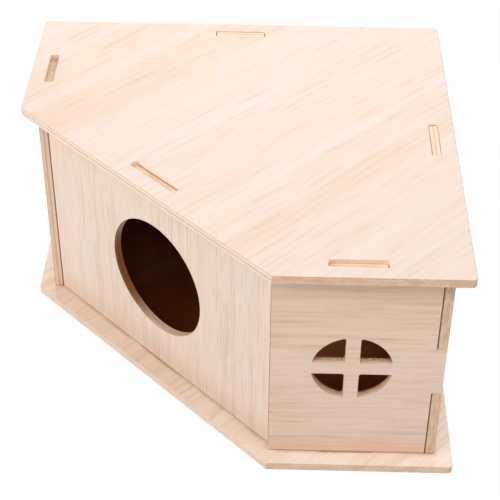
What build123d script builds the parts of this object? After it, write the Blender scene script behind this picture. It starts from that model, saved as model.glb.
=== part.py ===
from build123d import *
import math
import os

# A corner house for a hamster, slotted together from seven sheets of plywood.
# The plan is a square with one corner cut off at 45 degrees. Five walls stand between
# a floor and a slightly smaller roof. Every wall has a tab at its top and its foot that
# goes through a slot, and the square corners interlock with fingers.
#
# Frame: origin on the underside, at the centre of the square the plan is cut from.
# +Z is up, the window wall faces -Y, and the entrance wall faces -X and -Y.
# All dimensions are in millimetres.

# Sheets and plan
ply = 4.0  # thickness of every sheet
wall_span = 185.4  # outer face to outer face of opposite walls
floor_overhang = 7.9  # outer wall faces to the floor's edge
roof_overhang = 7.3
corner_cut = 118.0  # length the 45 degree cut takes off two edges of floor and roof
corner_radius = 2.0  # upright rounding of the three square corners
wall_height = 104.0  # clear height between floor and roof
front_end = 18.2  # free front ends of the window wall (x) and of the left wall (y)
entrance_setback = 0.15  # entrance wall behind the front corners of its neighbours
entrance_shift = 0.3  # its tabs and opening, off the plan's diagonal towards the window
centre_height = 55.4  # middle of the openings

# Openings
entrance_diameter = 60.2
window_diameter = 35.0
window_bar = 6.3  # width of each bar of the cross

# Slots and tabs
slot_length = 24.7
entrance_slot_length = 28.6
slot_radius = 0.7
side_play = 0.15  # sheet face to slot face
end_play = 0.4  # tab end to slot end
foot_recess = 0.3  # tab ends above the underside of the floor
shoulder_gap = 0.4  # window wall's short-cut shoulder, above the floor
side_tab_shift = 0.9  # left and right walls' tabs, off their middles towards the back
tab_rise = {  # how far each wall's upper tab stands up into the roof
    "window": 2.2,
    "right": 3.6,
    "back": 3.7,
    "left": 2.0,
    "entrance": 2.4,
}

# Corner fingers
finger_height = 26.0  # middle finger of each square corner
finger_centre = 54.8
finger_play = 0.25
finger_arris = 0.9  # rounding along the outer fingers' cut edges
corner_gap = 0.45  # end of a sheet to the face of the sheet it butts against
left_mitre_gap = 0.25  # ends of the entrance wall to the corners of its neighbours
window_mitre_gap = 0.4
notch_radius = 0.4

# Derived planes and levels
outer = wall_span / 2
inner = outer - ply
floor_top = ply
roof_under = ply + wall_height
finger_low = finger_centre - finger_height / 2
finger_high = finger_centre + finger_height / 2
butt_end = inner - corner_gap  # shoulders of the sheets that end at another's face
short_middle = (front_end + butt_end) / 2  # middle of the two short walls
left_tab = short_middle + side_tab_shift
right_tab = (butt_end - outer) / 2 + side_tab_shift
entrance_half = math.sqrt(2) * (front_end + inner) / 2
entrance_face = (inner - front_end) / math.sqrt(2) - entrance_setback


def block(u0, u1, v0, v1):
    """A rectangle from its limits along the sheet and up it."""
    return Pos((u0 + u1) / 2, (v0 + v1) / 2) * Rectangle(u1 - u0, v1 - v0)


def upright(x, y, direction):
    """A vertical plane through x, y whose sheet runs along direction, normal outwards."""
    along = Vector(*direction, 0).normalized()
    return Plane(origin=(x, y, 0), x_dir=along, z_dir=along.cross(Vector(0, 0, 1)))


front_plane = upright(0, -outer, (1, 0))
right_plane = upright(outer, 0, (0, 1))
back_plane = upright(0, outer, (-1, 0))
left_plane = upright(-outer, 0, (0, -1))
entrance_plane = upright(
    (entrance_shift - entrance_face) / math.sqrt(2),
    (-entrance_shift - entrance_face) / math.sqrt(2),
    (1, -1),
)


def sheet(outline, plane):
    """One panel: the outline cut from ply, its outer face on the plane."""
    return extrude(plane * outline, amount=-ply)


def tabbed(start, end, middle, slot, rise):
    """Wall outline with a tab through the floor and one into the roof."""
    half = slot / 2 - end_play
    body = block(start, end, floor_top, roof_under)
    tabs = block(middle - half, middle + half, foot_recess, roof_under + rise)
    return body + tabs


def middle_finger(end, way):
    """The finger that reaches through the next wall, at the end of a sheet."""
    tip = end + way * (ply + corner_gap)
    root = end - way * ply
    return block(min(root, tip), max(root, tip), finger_low, finger_high)


def notch(end, way):
    """The opening that a middle finger passes, its inner corners cut round."""
    depth = ply + finger_play
    mouth = end + way * depth
    bottom = end - way * depth
    opening = block(
        min(mouth, bottom), max(mouth, bottom),
        finger_low - finger_play, finger_high + finger_play,
    )
    return fillet(opening.vertices(), notch_radius)


def round_fingers(wall, across, ends):
    """Take the arris off the notches' cut edges, at the given ends of the sheet."""
    chosen = []
    for edge in wall.edges().filter_by(across):
        middle = edge.center()
        along = middle.Y if across == Axis.Y else middle.X
        in_notch = finger_low - 1 < middle.Z < finger_high + 1
        if in_notch and any(abs(along - end) < ply for end in ends):
            chosen.append(edge)
    return fillet(chosen, finger_arris)


def plan(overhang):
    """Outline of the floor or the roof: a square less one corner."""
    half = outer + overhang
    cut = corner_cut - half
    outline = Polyline(
        (-half, half), (half, half), (half, -half), (cut, -half), (-half, cut),
        close=True,
    )
    face = make_face(outline)
    square = [v for v in face.vertices() if abs(abs(v.X) - abs(v.Y)) < 0.01]
    return fillet(square, corner_radius)


def slot(length):
    """One slot of the floor or roof, lying along X."""
    width = ply + 2 * side_play
    return RectangleRounded(length, width, slot_radius)


def all_slots():
    """The five slots, each under the middle of its wall's sheet."""
    mid = outer - ply / 2
    along_x = slot(slot_length)
    along_y = Rot(0, 0, 90) * along_x
    skew = slot(entrance_slot_length)
    return [
        Pos(short_middle, -mid) * along_x,
        Pos(0, mid) * along_x,
        Pos(mid, right_tab) * along_y,
        Pos(-mid, left_tab) * along_y,
        Rot(0, 0, -45) * Pos(entrance_shift, ply / 2 - entrance_face) * skew,
    ]


def panel(level, overhang):
    """Floor or roof, standing on the given level."""
    outline = plan(overhang)
    for opening in all_slots():
        outline -= opening
    return extrude(Pos(0, 0, level) * outline, amount=ply)


def cross_window():
    """Four panes: a disc divided by a cross of two bars."""
    reach = 2 * window_diameter
    disc = Circle(window_diameter / 2)
    return disc - Rectangle(window_bar, reach) - Rectangle(reach, window_bar)


def window_wall():
    """Short wall with the cross window; its middle finger goes through the right wall,
    and its shoulder beside the entrance wall stands clear of the floor."""
    rise = tab_rise["window"]
    outline = tabbed(front_end, butt_end, short_middle, slot_length, rise)
    outline += middle_finger(butt_end, 1)
    tab_side = short_middle - slot_length / 2 + end_play
    outline -= block(0, tab_side, 0, floor_top + shoulder_gap)
    outline -= Pos(short_middle, centre_height) * cross_window()
    return sheet(outline, front_plane)


def right_wall():
    """Long wall: notched at the front, with a middle finger through the back wall."""
    rise = tab_rise["right"]
    outline = tabbed(-outer, butt_end, right_tab, slot_length, rise)
    outline += middle_finger(butt_end, 1)
    outline -= notch(-outer, -1)
    return round_fingers(sheet(outline, right_plane), Axis.Y, [-outer])


def back_wall():
    """Long wall notched at both ends for its neighbours' middle fingers."""
    outline = tabbed(-outer, outer, 0, slot_length, tab_rise["back"])
    outline -= notch(outer, 1)
    outline -= notch(-outer, -1)
    return round_fingers(sheet(outline, back_plane), Axis.X, [-outer, outer])


def left_wall():
    """Short plain wall; its middle finger goes through the back wall."""
    rise = tab_rise["left"]
    outline = tabbed(-butt_end, -front_end, -left_tab, slot_length, rise)
    outline += middle_finger(-butt_end, -1)
    return sheet(outline, left_plane)


def entrance_wall():
    """45 degree wall with the round entrance, fitted between its neighbours' corners."""
    start = left_mitre_gap - entrance_half - entrance_shift
    end = entrance_half - window_mitre_gap - entrance_shift
    outline = tabbed(start, end, 0, entrance_slot_length, tab_rise["entrance"])
    outline -= Pos(0, centre_height) * Circle(entrance_diameter / 2)
    return sheet(outline, entrance_plane)


pieces = {
    "floor_panel": panel(0, floor_overhang),
    "roof_panel": panel(roof_under, roof_overhang),
    "window_wall": window_wall(),
    "right_wall": right_wall(),
    "back_wall": back_wall(),
    "left_wall": left_wall(),
    "entrance_wall": entrance_wall(),
}

os.makedirs("parts", exist_ok=True)
for name, shape in pieces.items():
    export_step(shape, f"parts/{name}.step")
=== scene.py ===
import math

import bpy
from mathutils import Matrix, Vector

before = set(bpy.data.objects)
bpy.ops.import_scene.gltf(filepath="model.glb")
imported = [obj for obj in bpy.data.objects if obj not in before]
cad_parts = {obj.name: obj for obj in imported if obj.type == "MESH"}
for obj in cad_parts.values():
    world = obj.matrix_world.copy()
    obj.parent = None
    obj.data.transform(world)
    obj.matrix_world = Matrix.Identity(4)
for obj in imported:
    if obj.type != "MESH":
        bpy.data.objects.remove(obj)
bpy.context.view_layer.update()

# Metres. Origin under the middle of the house, +Z up, the window wall faces -Y.
# The entrance wall faces -X and -Y, so SKEW runs from the entrance to the back corner.
X, Y, Z = (1, 0, 0), (0, 1, 0), (0, 0, 1)
DIAGONAL = math.sqrt(0.5)
SKEW = (DIAGONAL, DIAGONAL, 0)
ACROSS_SKEW = (DIAGONAL, -DIAGONAL, 0)
TO_ENTRANCE = (-DIAGONAL, -DIAGONAL, 0)

# Sizes of the solids
PLY = 0.004
ROOF_TOP = 0.112
ROOF_UNDER = ROOF_TOP - PLY
WALL_FACE = 0.0927  # outer faces of the square walls, from the middle
ENTRANCE_FACE = 0.0497  # outer face of the entrance wall, from the middle
OPENING_HEIGHT = 0.0554  # middle of the entrance and of the window
OPENING_REACH = 0.033  # up and down from there, past the edge of either
WINDOW_MIDDLE = 0.053225  # along X
WINDOW_RADIUS = 0.0175
HALF_BAR = 0.00315  # half the width of a bar of the window's cross

# Plans of the house's shape: half the width of the square, and the place on the
# axes where the 45 degree cut crosses them
BETWEEN_WALLS = (0.0905, 0.067)
AROUND_WALLS = (0.0940, 0.0722)
AROUND_SLOTS = (0.096, 0.076)
PLAN_BLUR = 0.001  # either side of a plan's outline

# Heights at which the painted shade of a seam sets in, is full, still is and has gone,
# around the top of the floor and the underside of the roof
FLOOR_SEAM = (0.0030, 0.0038, 0.0042, 0.0052)
ROOF_SEAM = (0.1058, 0.1074, 0.1082, 0.1090)
# Heights of the painted shade towards the foot of a wall
FOOT_SHADE = (0.022, 0.006)  # from none down to full
TAB_TOP = (ROOF_UNDER + 0.0006, ROOF_UNDER + 0.0014)

# Where a mask starts and where it is full, in thicknesses below the outer face
INNER_FACE = (0.90, 0.92)
# Depths of the painted shadow on the back of a tab's top
TAB_BACK = (0.72, 0.88)
# Depths of the painted shade towards the back of an opening's cut edge
BACK_SHADE_DEPTH = (0.48, 0.95)

# Either way from the middle of the sheet: where the glue lies, and again where a mask
# starts and is full
GLUE_LINE = 0.13
CORE = (GLUE_LINE, 0.07)
CUT_EDGE = (0.498, 0.485)

# An opening's side that faces this way is painted in shade
LOWER_LEFT_SIDE = (0.64, -0.64, 0.43)  # where that side of an opening faces
ARRIS = 0.0002
PANE_ROUNDING = 0.0012
SAME_PLACE = 0.00001  # vertices no further apart than this are one
NEARBY = 0.0001  # from a pane's corner as worked out to the edge meant

HOUSE_MIDDLE = Vector((0, 0, 0.06))
STAGE_HALF_WIDTH = 4.0
STAGE_LEVEL = -0.0001
WHITE = (1.0, 1.0, 1.0, 1.0)
BLACK = (0.0, 0.0, 0.0, 1.0)


def clear_defaults():
    """Remove what Blender starts with."""
    for name in ("Cube", "Light", "Camera"):
        thing = bpy.data.objects.get(name)
        if thing is not None:
            bpy.data.objects.remove(thing)


def add_camera():
    """A long lens, high in front of the window wall and a little to its left."""
    data = bpy.data.cameras.new("camera")
    data.sensor_width = 36.0
    data.lens = 98.028
    data.clip_start, data.clip_end = 0.01, 20.0
    camera = bpy.data.objects.new("camera", data)
    camera.location = (0.017644, -0.514299, 0.457933)
    turn = (51.22791, -0.39767, 1.45125)
    camera.rotation_euler = [math.radians(angle) for angle in turn]
    bpy.context.collection.objects.link(camera)
    bpy.context.scene.camera = camera


# ---------------------------------------------------------------- node graphs


class Graph:
    """The nodes of one material or world, wired as they are made."""

    def __init__(self, tree):
        self.tree = tree
        tree.nodes.clear()

    def put(self, socket, value):
        """Wire another socket's value to an input, or set it to a constant."""
        if isinstance(value, bpy.types.NodeSocket):
            self.tree.links.new(value, socket)
        else:
            socket.default_value = value

    def add(self, kind, *values, **settings):
        """A new node, with the values put into its first inputs."""
        node = self.tree.nodes.new(kind)
        for key, value in settings.items():
            setattr(node, key, value)
        for socket, value in zip(node.inputs, values):
            self.put(socket, value)
        return node

    def math(self, operation, *values):
        return self.add("ShaderNodeMath", *values, operation=operation).outputs[0]

    def total(self, first, *others):
        for other in others:
            first = self.math("ADD", first, other)
        return first

    def product(self, first, *others):
        for other in others:
            first = self.math("MULTIPLY", first, other)
        return first

    def off(self, value, middle):
        """How far a value is from the middle, either way."""
        return self.math("ABSOLUTE", self.math("SUBTRACT", value, middle))

    def vector(self, operation, *values):
        made = self.add("ShaderNodeVectorMath", *values, operation=operation)
        return made.outputs["Vector"]

    def dot(self, vector, direction):
        made = self.add("ShaderNodeVectorMath", vector, direction, operation="DOT_PRODUCT")
        return made.outputs["Value"]

    def split(self, vector):
        return self.add("ShaderNodeSeparateXYZ", vector).outputs

    def join(self, x, y, z):
        return self.add("ShaderNodeCombineXYZ", x, y, z).outputs[0]

    def noise(self, vector, per_metre, detail=2.0, roughness=0.5):
        """Noise whose frequency along each axis of the vector is given per metre."""
        node = self.add("ShaderNodeTexNoise", self.vector("MULTIPLY", vector, per_metre))
        self.put(node.inputs["Scale"], 1.0)
        self.put(node.inputs["Detail"], detail)
        self.put(node.inputs["Roughness"], roughness)
        return node.outputs[0]

    def remap(self, value, low, high, new_low=0.0, new_high=1.0):
        """Smooth step from new_low at low to new_high at high."""
        return self.add(
            "ShaderNodeMapRange", value, low, high, new_low, new_high,
            interpolation_type="SMOOTHSTEP",
        ).outputs[0]

    def band(self, value, start, full, fading, end):
        """Mask that rises from start to full and falls from fading to end."""
        return self.product(self.remap(value, start, full), self.remap(value, end, fading))

    def mix(self, factor, first, second, blend="MIX"):
        """Blend of two colours, whose sockets have no names of their own."""
        node = self.add("ShaderNodeMix", data_type="RGBA", blend_type=blend)
        self.put(node.inputs[0], factor)
        self.put(node.inputs[6], first)
        self.put(node.inputs[7], second)
        return node.outputs[2]


def colour(red, green, blue):
    """A linear colour from screen values of 0 to 255."""
    def linear(value):
        value /= 255
        return value / 12.92 if value <= 0.04045 else ((value + 0.055) / 1.055) ** 2.4
    return (linear(red), linear(green), linear(blue), 1.0)


# ---------------------------------------------------------------- plywood


class SheetPoint:
    """Where a point lies in its sheet and what it is part of, as sockets of the graph.
    grain runs along the face veneers, out is the outer face's normal and level is how
    far out that face lies."""

    def __init__(self, g, grain, out, level, look):
        where = g.add("ShaderNodeTexCoord").outputs
        self.place, self.normal = where["Object"], where["Normal"]
        self.x, self.y, self.height = g.split(self.place)
        along = g.dot(self.place, grain)
        over = g.dot(self.place, tuple(Vector(out).cross(Vector(grain))))
        outwards = g.dot(self.place, out)

        # Thicknesses below the outer face
        self.depth = g.product(g.math("SUBTRACT", level, outwards), 1 / PLY)
        self.cut = g.remap(g.off(self.depth, 0.5), *CUT_EDGE)
        self.inside = g.remap(self.depth, *INNER_FACE)

        # An arris faces neither as the faces do nor as the cut edge does
        facing = g.math("ABSOLUTE", g.dot(self.normal, out))
        self.arris = g.band(facing, 0.1, 0.35, 0.93, 0.99)

        # Metres along the grain, over it and out of the sheet, drifting a little sideways
        run = g.vector("ADD", g.join(along, over, outwards), look["seed"])
        drift = g.math("SUBTRACT", g.noise(run, (7, 16, 20), 2), 0.5)
        drift = g.product(drift, look["waviness"])
        self.run = g.vector("ADD", run, g.join(0.0, drift, 0.0))
        self.over = g.total(over, drift)


def stripes(g, at, bands, value):
    """The stronger of a value and of soft bands along the grain, each given by its
    centre over the grain, its half width and its strength."""
    for centre, half_width, strength in bands:
        off = g.off(at.over, centre)
        stripe = g.remap(off, half_width * 1.5, half_width * 0.5, 0.0, strength)
        value = g.math("MAXIMUM", value, stripe)
    return value


def ground(g, at, heart, look):
    """The wood between the lines of its grain: pale, with broad warm bands."""
    bands = g.noise(at.run, look["bands"], 3, 0.55)
    warmth = g.math("MAXIMUM", heart, g.remap(bands, 0.38, 0.62, 0.0, look["banding"]))
    if look["taper"]:
        along, _, _ = g.split(at.run)
        ripening = g.remap(along, *look["taper"], 0.3, 1.0)
        warmth = g.product(g.total(warmth, 0.2), ripening)
    tone = g.mix(warmth, look["pale"], look["warm"])
    clouds = g.remap(g.noise(at.place, (26, 26, 26), 3), 0.42, 0.66, 0.0, 0.4)
    return g.mix(clouds, tone, look["blush"])


def growth_lines(g, at, look):
    """Mask of wandering growth lines, broken up along the grain."""
    _, across, _ = g.split(at.run)
    swell = g.product(g.noise(at.run, (8, 45, 60), 3, 0.55), look["swell"])
    phase = g.math("FRACT", g.total(g.product(across, look["rings"]), swell))
    line = g.remap(g.off(phase, 0.5), 0.34, 0.04)
    gaps = g.noise(at.run, (look["gap"], 260, 400), 3, 0.6)
    return g.product(line, g.remap(gaps, 0.42, 0.58, 0.1, 1.0))


def veneer(g, at, look):
    """Sanded face veneer: broad warm bands, amber streaks, and darker growth lines,
    veins, fibres and pores. Returns its tone and how deep each line of grain is."""
    heart = stripes(g, at, look["heartwood"], 0.0)

    # How strongly the streaks and growth lines show
    presence = g.remap(g.noise(at.run, (14, 48, 80), 2), 0.38, 0.6, look["calm"], 1.0)
    presence = stripes(g, at, look["busy"], g.math("MAXIMUM", presence, heart))

    streaks = g.remap(g.noise(at.run, look["streaks"], 5, 0.68), 0.47, 0.64)
    streaks = g.product(streaks, look["streak_depth"], presence)
    tone = g.mix(streaks, ground(g, at, heart, look), look["amber"], "MULTIPLY")

    rings = g.product(growth_lines(g, at, look), look["ring_depth"], presence)
    veins = g.noise(at.run, look["veins"], 2, 0.6)
    fibres = g.noise(at.run, (60, 1500, 1500), 3, 0.6)
    pores = g.noise(at.run, (170, 2200, 2200), 1)
    dark = g.total(
        rings,
        g.remap(veins, 0.62, 0.70, 0.0, look["vein_depth"]),
        g.remap(fibres, 0.42, 0.7, 0.0, look["fibre_depth"]),
        g.remap(pores, 0.66, 0.76, 0.0, 0.2),
    )
    lines = g.total(dark, g.product(streaks, 0.5))
    return g.mix(dark, tone, look["line"], "MULTIPLY"), lines


def within(g, at, reach, cut):
    """Mask of a plan of the house's shape: a square less one corner."""
    widest = g.math("MAXIMUM", g.math("ABSOLUTE", at.x), g.math("ABSOLUTE", at.y))
    in_square = g.remap(widest, reach + PLAN_BLUR, reach - PLAN_BLUR)
    past_cut = g.remap(g.total(at.x, at.y), -cut - PLAN_BLUR, -cut + PLAN_BLUR)
    return g.product(past_cut, in_square)


def shade_floor(g, at, tone, look):
    """Painted shadow along the feet of the walls, and between the walls painted shade on
    the floor's top, darkest behind the entrance and in the corner beside the window, and
    lighter by the window as painted light."""
    # Painted shadow in a patchy ring along the feet of the walls
    patchy = g.remap(g.noise(at.place, (70, 70, 70), 3), 0.36, 0.62, 0.2, 1.0)
    foot_shadow = g.product(within(g, at, *AROUND_WALLS), patchy)
    tone = g.mix(foot_shadow, tone, look["shade_tint"], "MULTIPLY")

    # Painted shade on the floor's top between the walls, lighter by the window as painted
    # light
    lit = g.math("MAXIMUM", g.remap(at.x, -0.02, 0.045), g.remap(at.y, 0.01, 0.06))
    past_corner = g.remap(g.math("SUBTRACT", at.y, at.x), -0.112, -0.068)
    by_window = g.mix(past_corner, look["corner"], look["by_window"])
    shade = g.mix(lit, look["enclosed"], by_window)
    upper = g.math("SUBTRACT", 1.0, at.inside)
    upper = g.product(within(g, at, *BETWEEN_WALLS), upper)
    return g.mix(upper, tone, shade, "MULTIPLY")


def faces(g, at, look):
    """Both faces of the sheet, with painted shade towards its foot and a browner inside,
    partly the back face's own tone and partly painted shade. Returns their tone and how
    deep each line of grain is."""
    tone, lines = veneer(g, at, look)
    # Painted shade, darker towards the foot
    foot = g.remap(at.height, *FOOT_SHADE, 0.0, look["foot"])
    tone = g.mix(foot, tone, look["shade_tint"], "MULTIPLY")
    # Browner inside the walls: partly the back face's own tone, partly painted shade
    indoors = g.product(at.inside, within(g, at, *BETWEEN_WALLS))
    tone = g.mix(indoors, tone, look["inner"], "MULTIPLY")
    if look["enclosed"]:
        tone = shade_floor(g, at, tone, look)
    return tone, lines


def cut_plies(g, at, look):
    """Cut edge: two thick plies with a thin core between, whose fibres run across theirs.
    A ply cut along its fibres stays pale, one cut across them is darker and stained.
    Returns its tone and its mottle."""
    end_grain = g.math("ABSOLUTE", g.dot(at.normal, look["long_way"]))
    end_grain = g.remap(end_grain, 0.1, 1.0)
    ripple = g.math("SUBTRACT", g.noise(at.place, (90, 90, 90), 2), 0.5)
    off_middle = g.off(g.total(at.depth, g.product(ripple, 0.06)), 0.5)

    plies = g.mix(end_grain, look["long_cut"], look["end_cut"])
    middle = g.mix(g.product(end_grain, 0.7), look["core_cut"], plies)
    tone = g.mix(g.remap(off_middle, *CORE), plies, middle)

    mottle = g.noise(at.run, (520, 520, 1300), 3, 0.6)
    blots = g.noise(at.run, (120, 120, 700), 2)
    rough = g.total(g.product(end_grain, 0.5), 0.25)
    spots = g.product(g.remap(mottle, 0.46, 0.66), rough)
    stains = g.product(g.remap(blots, 0.46, 0.62), rough)
    tone = g.mix(g.total(spots, stains), tone, look["tan"], "MULTIPLY")

    glue = g.remap(g.off(off_middle, GLUE_LINE), 0.03, 0.008, 0.0, look["glue"])
    tone = g.mix(glue, tone, look["scorch_and_shade"])
    rind = g.remap(off_middle, 0.34, 0.46, 0.0, look["rind"])
    return g.mix(rind, tone, look["scorch_and_shade"]), mottle


def paint_slot_light(g, at, edge, arris, look):
    """Painted light on the cut edges in the slots, most where they face left or right, with
    fainter arrises. Returns the edges' tone and the arrises' mask."""
    slotted = within(g, at, *AROUND_SLOTS)
    sideways = g.math("ABSOLUTE", g.dot(at.normal, X))
    slot_light = g.product(slotted, g.remap(sideways, 0.4, 0.95, 0.3, 1.0))
    arris = g.product(arris, g.remap(slotted, 0.0, 1.0, 1.0, 0.4))
    return g.mix(slot_light, edge, look["slots"]), arris


def paint_edge_shade(g, at, edge, mottle, look):
    """Painted shade on the edges as high up as the openings, towards their back and on an
    opening's lower left side, and a painted shadow on the back of the top of a tab."""
    at_opening = g.off(at.height, OPENING_HEIGHT)
    at_opening = g.remap(at_opening, OPENING_REACH, OPENING_REACH - 0.001)
    ragged = g.total(at.depth, g.remap(mottle, 0.3, 0.7, -0.2, 0.2))
    # Painted shade towards the back of the openings' edges and on their lower left side
    smoke = g.product(g.remap(ragged, *BACK_SHADE_DEPTH), look["smoke"])
    burn = g.product(g.remap(g.dot(at.normal, LOWER_LEFT_SIDE), 0.55, 1.0), look["burn"])
    opening_shade = g.product(at_opening, g.math("MAXIMUM", smoke, burn))
    edge = g.mix(opening_shade, edge, look["opening_shade"], "MULTIPLY")

    # Painted shadow on the back of a tab's top
    back = g.product(g.remap(at.height, *TAB_TOP), g.remap(at.depth, *TAB_BACK))
    return g.mix(g.product(back, look["tab_back"]), edge, look["scorch_and_shade"])


def shade_seams(g, at, tone, look):
    """Painted shade where a wall meets the floor and the roof."""
    low = g.product(g.band(at.height, *FLOOR_SEAM), look["seam"])
    high = g.product(g.band(at.height, *ROOF_SEAM), look["seam"])
    tone = g.mix(low, tone, look["scorch_and_shade"])
    return g.mix(high, tone, look["shade_tint"], "MULTIPLY")


def plywood(name, grain, out, level, look):
    """Material of a three-ply sheet, placed by grain, out and level as in SheetPoint."""
    material = bpy.data.materials.new(name)
    material.use_nodes = True
    g = Graph(material.node_tree)
    at = SheetPoint(g, grain, out, level, look)

    face, lines = faces(g, at, look)
    edge, mottle = cut_plies(g, at, look)
    arris = at.arris
    # Painted light on the slots' cut edges
    if look["slots"]:
        edge, arris = paint_slot_light(g, at, edge, arris, look)
    # Painted shade on the edges at the openings and on the tabs' backs
    tone = g.mix(at.cut, face, paint_edge_shade(g, at, edge, mottle, look))
    tone = g.mix(g.product(arris, look["arris"]), tone, look["scorch_and_shade"])
    # Painted shade where the wall meets the floor and the roof
    tone = shade_seams(g, at, tone, look)

    # Relief of a few hundredths of a millimetre: sunk grain, saw marks on the cut edges
    relief = g.total(g.product(lines, -0.6), g.product(at.cut, mottle, 0.9))
    bump = g.add("ShaderNodeBump")
    bump.inputs["Strength"].default_value = 0.35
    bump.inputs["Distance"].default_value = 0.00008
    g.put(bump.inputs["Height"], relief)

    shader = g.add("ShaderNodeBsdfPrincipled")
    rough = g.total(g.remap(lines, 0.0, 0.8, 0.56, 0.7), g.product(at.cut, 0.12))
    g.put(shader.inputs["Base Color"], tone)
    g.put(shader.inputs["Roughness"], rough)
    g.put(shader.inputs["Normal"], bump.outputs[0])
    shader.inputs["Specular IOR Level"].default_value = 0.3
    g.add("ShaderNodeOutputMaterial", shader.outputs[0])
    return material


# ---------------------------------------------------------------- the seven boards


def board_look(seed, long_way, **changes):
    """Tones and scales of one sheet, with what sets it apart given as changes.
    long_way is the fibres' direction in the thick plies of the cut edge. Frequencies
    are per metre along, over and out of the grain, and a depth or strength is a share."""
    made = {
        # Offset into the noise, so that no two sheets share their grain
        "seed": (seed * 0.731, seed * 0.417, seed * 0.253),
        "long_way": long_way,
        # Bands across the grain: centre, half width and strength
        "heartwood": (),
        "busy": (),
        # Ground of the face, and the stretch along the grain in which it warms
        "bands": (6, 30, 60),
        "banding": 0.5,
        "taper": None,
        "pale": colour(242, 221, 206),
        "warm": colour(239, 211, 192),
        "blush": colour(240, 214, 197),
        # Lines of the grain. calm is their strength outside heartwood and busy bands.
        "waviness": 0.006,
        "calm": 0.4,
        "streaks": (10, 300, 500),
        "streak_depth": 0.35,
        "rings": 230.0,
        "ring_depth": 0.5,
        "swell": 5.0,
        "gap": 26,
        "veins": (14, 260, 400),
        "vein_depth": 0.0,
        "fibre_depth": 0.15,
        "amber": (0.85, 0.77, 0.65, 1.0),
        "line": (0.78, 0.74, 0.71, 1.0),
        # Cut edge
        "long_cut": colour(245, 215, 190),
        "end_cut": colour(235, 200, 172),
        "core_cut": colour(225, 189, 159),
        "tan": (0.88, 0.76, 0.65, 1.0),
        "glue": 0.12,
        "rind": 0.12,
        "arris": 0.4,
        # Colour of painted light in the slots, where given
        "slots": None,
        # Scorch of the cutter, and painted shade at the openings, the tabs' backs, the
        # seams and the feet
        "scorch_and_shade": colour(150, 108, 76),
        "opening_shade": (0.50, 0.28, 0.14, 1.0),
        "smoke": 0.0,
        "burn": 0.0,
        "tab_back": 0.0,
        "shade_tint": (0.86, 0.77, 0.68, 1.0),
        "seam": 0.0,
        "foot": 0.0,
        # Tints inside the house: the inner faces, partly the back faces' own tone and
        # partly painted shade, and the top of the floor where enclosed is given, as painted
        # shade, lighter for the part by the window and darkest for the corner beside it
        "inner": (0.74, 0.50, 0.33, 1.0),
        "enclosed": None,
        "by_window": (0.68, 0.37, 0.19, 1.0),
        "corner": (0.36, 0.15, 0.06, 1.0),
    }
    made.update(changes)
    return made


def roof_board():
    """Warm heartwood along the diagonal that fades towards the entrance."""
    look = board_look(
        1, ACROSS_SKEW,
        heartwood=(
            (0.095, 0.012, 0.7), (0.065, 0.014, 0.9), (0.032, 0.010, 0.3),
            (-0.028, 0.004, 0.5), (-0.045, 0.006, 0.5), (-0.061, 0.007, 0.8),
            (-0.105, 0.008, 0.4),
        ),
        taper=(-0.07, 0.06), bands=(5, 60, 100),
        pale=colour(227, 212, 203), warm=colour(225, 200, 181), blush=colour(226, 206, 193),
        streaks=(14, 240, 400), streak_depth=0.24, amber=(0.93, 0.83, 0.72, 1.0),
        ring_depth=0.28, gap=40, fibre_depth=0.12,
        long_cut=colour(250, 226, 207), end_cut=colour(241, 202, 171),
        core_cut=colour(226, 199, 178), slots=colour(255, 239, 221), glue=0.22, arris=0.5,
    )
    return SKEW, Z, ROOF_TOP, look


def floor_board():
    """One broad band of heartwood, and painted shade between the walls, but on its top
    only: inner is white, as its inner face is the underside of the house."""
    look = board_look(
        2, ACROSS_SKEW,
        heartwood=((0.03, 0.070, 0.7),), banding=0.7,
        pale=colour(243, 229, 217), warm=colour(237, 211, 186), blush=colour(241, 219, 201),
        streaks=(12, 150, 300), streak_depth=0.6, ring_depth=0.4,
        long_cut=colour(246, 221, 202), end_cut=colour(241, 210, 186),
        core_cut=colour(238, 213, 194), arris=0.15,
        inner=WHITE, enclosed=(0.24, 0.078, 0.022, 1.0),
    )
    return SKEW, Z, PLY, look


def window_board():
    """Level grain, warmest near the top and the foot; the warm band near the top is painted
    shade under the roof. The window's rim is painted in shade towards its back.
    """
    look = board_look(
        3, X,
        heartwood=(
            # The first band, near the top, is painted warm shade under the roof
            (0.099, 0.007, 0.7), (0.085, 0.007, 0.9), (0.073, 0.0015, 0.9),
            (0.008, 0.004, 0.6),
        ),
        busy=((0.023, 0.004, 0.9), (0.048, 0.002, 0.7)), calm=0.3, banding=0.35,
        pale=colour(249, 223, 208), warm=colour(247, 215, 188), blush=colour(248, 218, 200),
        streaks=(26, 300, 500), streak_depth=0.55, amber=(0.83, 0.74, 0.60, 1.0),
        rings=330.0, ring_depth=0.4, gap=50, vein_depth=0.4, line=(0.79, 0.74, 0.69, 1.0),
        smoke=0.9, burn=0.15, arris=0.0, seam=0.6, foot=0.4,
    )
    return X, (0, -1, 0), WALL_FACE, look


def right_board():
    """Plain board whose front end shows beside the window wall."""
    look = board_look(
        4, Y, long_cut=colour(237, 212, 192), end_cut=colour(238, 207, 182),
        seam=0.6, foot=0.45,
    )
    return Y, X, WALL_FACE, look


def back_board():
    """Plain board."""
    return X, Y, WALL_FACE, board_look(5, X, seam=0.6, foot=0.45)


def left_board():
    """Board of which only the layered front end shows, beside the entrance wall."""
    look = board_look(
        6, Z, long_cut=colour(247, 218, 193), end_cut=colour(207, 180, 156),
        glue=0.2, rind=0.35, seam=0.6, foot=0.45,
    )
    return Z, (-1, 0, 0), WALL_FACE, look


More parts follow.
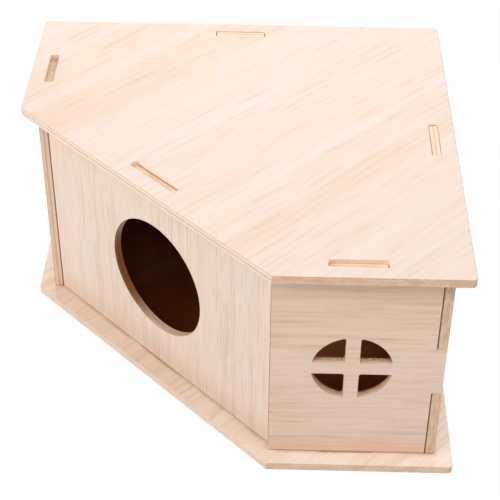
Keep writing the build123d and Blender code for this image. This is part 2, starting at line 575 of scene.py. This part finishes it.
def entrance_board():
    """Upright grain, busiest beside the window wall. The left side of the hole is painted
    in shade.
    """
    look = board_look(
        7, Z,
        heartwood=((0.072, 0.008, 0.5), (-0.004, 0.008, 0.5), (-0.030, 0.016, 0.4)),
        busy=((-0.052, 0.016, 1.0),), calm=0.5,
        pale=colour(239, 220, 205), warm=colour(239, 213, 196), blush=colour(241, 216, 199),
        streaks=(20, 340, 600), streak_depth=0.45, amber=(0.87, 0.75, 0.65, 1.0),
        rings=500.0, ring_depth=0.45, gap=70,
        end_cut=colour(246, 219, 193), glue=0.5, arris=0.0,
        burn=1.0, tab_back=0.6, seam=0.6, foot=0.45,
    )
    return Z, TO_ENTRANCE, ENTRANCE_FACE, look


BOARDS = {
    "roof_panel": roof_board,
    "floor_panel": floor_board,
    "window_wall": window_board,
    "right_wall": right_board,
    "back_wall": back_board,
    "left_wall": left_board,
    "entrance_wall": entrance_board,
}


def round_panes(node):
    """Round the corners of the cross window's panes, where its cutter turned: those at
    the middle of the cross, and those where the upright bar meets the round rim."""
    rim = math.sqrt(WINDOW_RADIUS**2 - HALF_BAR**2)
    rounded = ((HALF_BAR, HALF_BAR), (HALF_BAR, rim))
    mesh = node.data
    weights = mesh.attributes.new("bevel_weight_edge", "FLOAT", "EDGE")
    for edge in mesh.edges:
        first, second = (mesh.vertices[index].co for index in edge.vertices)
        straight_in = math.hypot(first.x - second.x, first.z - second.z) <= SAME_PLACE
        off = (abs(first.x - WINDOW_MIDDLE), abs(first.z - OPENING_HEIGHT))
        if straight_in and any(math.dist(off, corner) < NEARBY for corner in rounded):
            weights.data[edge.index].value = 1.0
    corners = node.modifiers.new("pane_corners", "BEVEL")
    corners.width = PANE_ROUNDING
    corners.segments = 5
    corners.limit_method = "WEIGHT"
    corners.use_clamp_overlap = False


def dress(name, material):
    """Give a CAD node its board material and lightly sanded arrises."""
    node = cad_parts[name]
    node.data.materials.clear()
    node.data.materials.append(material)
    for face in node.data.polygons:
        face.use_smooth = True
    weld = node.modifiers.new("weld", "WELD")
    weld.merge_threshold = SAME_PLACE
    flat = node.modifiers.new("flat", "DECIMATE")
    flat.decimate_type = "DISSOLVE"
    flat.angle_limit = math.radians(0.6)
    if name == "window_wall":
        round_panes(node)
    bevel = node.modifiers.new("arris", "BEVEL")
    bevel.width = ARRIS
    bevel.segments = 2
    bevel.limit_method = "ANGLE"
    bevel.angle_limit = math.radians(40)
    bevel.use_clamp_overlap = False
    node.modifiers.new("normals", "WEIGHTED_NORMAL").weight = 80


# ---------------------------------------------------------------- surroundings


def seen_directly(g):
    """Mask of what the camera sees, also in a reflection or through glass."""
    path = g.add("ShaderNodeLightPath").outputs
    seen = g.math("MAXIMUM", path["Is Camera Ray"], path["Is Glossy Ray"])
    return g.math("MAXIMUM", seen, path["Is Transmission Ray"])


def add_floor():
    """Pale floor, white from the camera, on which the house keeps a faint shadow."""
    mesh = bpy.data.meshes.new("stage_floor")
    corners = [
        (x * STAGE_HALF_WIDTH, y * STAGE_HALF_WIDTH, STAGE_LEVEL)
        for x, y in ((-1, -1), (1, -1), (1, 1), (-1, 1))
    ]
    mesh.from_pydata(corners, [], [(0, 1, 2, 3)])
    floor = bpy.data.objects.new("stage_floor", mesh)
    bpy.context.collection.objects.link(floor)

    material = bpy.data.materials.new("stage_paper")
    material.use_nodes = True
    g = Graph(material.node_tree)
    matt = g.add("ShaderNodeBsdfDiffuse", (0.75, 0.75, 0.75, 1.0)).outputs[0]
    glow = g.add("ShaderNodeEmission", WHITE, 1.0).outputs[0]
    share = g.product(seen_directly(g), 0.98)
    paper = g.add("ShaderNodeMixShader", share, matt, glow).outputs[0]
    g.add("ShaderNodeOutputMaterial", paper)
    mesh.materials.append(material)


def add_world():
    """White where it is seen, and black for the light that falls on the house."""
    world = bpy.data.worlds.new("studio")
    bpy.context.scene.world = world
    world.use_nodes = True
    g = Graph(world.node_tree)
    tone = g.mix(seen_directly(g), BLACK, WHITE)
    g.add("ShaderNodeOutputWorld", g.add("ShaderNodeBackground", tone, 1.0).outputs[0])


def add_lamp(name, place, size, power):
    """A square soft box aimed at the middle of the house."""
    data = bpy.data.lights.new(name, "AREA")
    data.shape = "SQUARE"
    data.size = size
    data.energy = power
    lamp = bpy.data.objects.new(name, data)
    lamp.location = place
    aim = HOUSE_MIDDLE - Vector(place)
    lamp.rotation_euler = aim.to_track_quat("-Z", "Y").to_euler()
    bpy.context.collection.objects.link(lamp)


def add_lamps():
    """Soft light from all round and above, strongest from behind and from the left."""
    add_lamp("front_left", (-1.0, -1.0, 0.9), 0.9, 4.6)
    add_lamp("left", (-1.3, -0.3, 0.65), 0.9, 9.5)
    add_lamp("back", (0.0, 1.4, 0.9), 0.9, 19.0)
    add_lamp("high_right", (0.8, 0.0, 1.4), 0.9, 6.4)
    add_lamp("high_front_right", (0.7, -0.7, 1.25), 0.6, 6.2)
    add_lamp("high_front", (0.0, -1.0, 1.3), 0.6, 3.8)
    add_lamp("high_front_left", (-0.7, -0.7, 1.25), 0.6, 2.5)


clear_defaults()
add_camera()
add_world()
add_floor()
add_lamps()
for node_name, board in BOARDS.items():
    dress(node_name, plywood(f"{node_name}_plywood", *board()))

bpy.context.scene.view_settings.view_transform = "Standard"
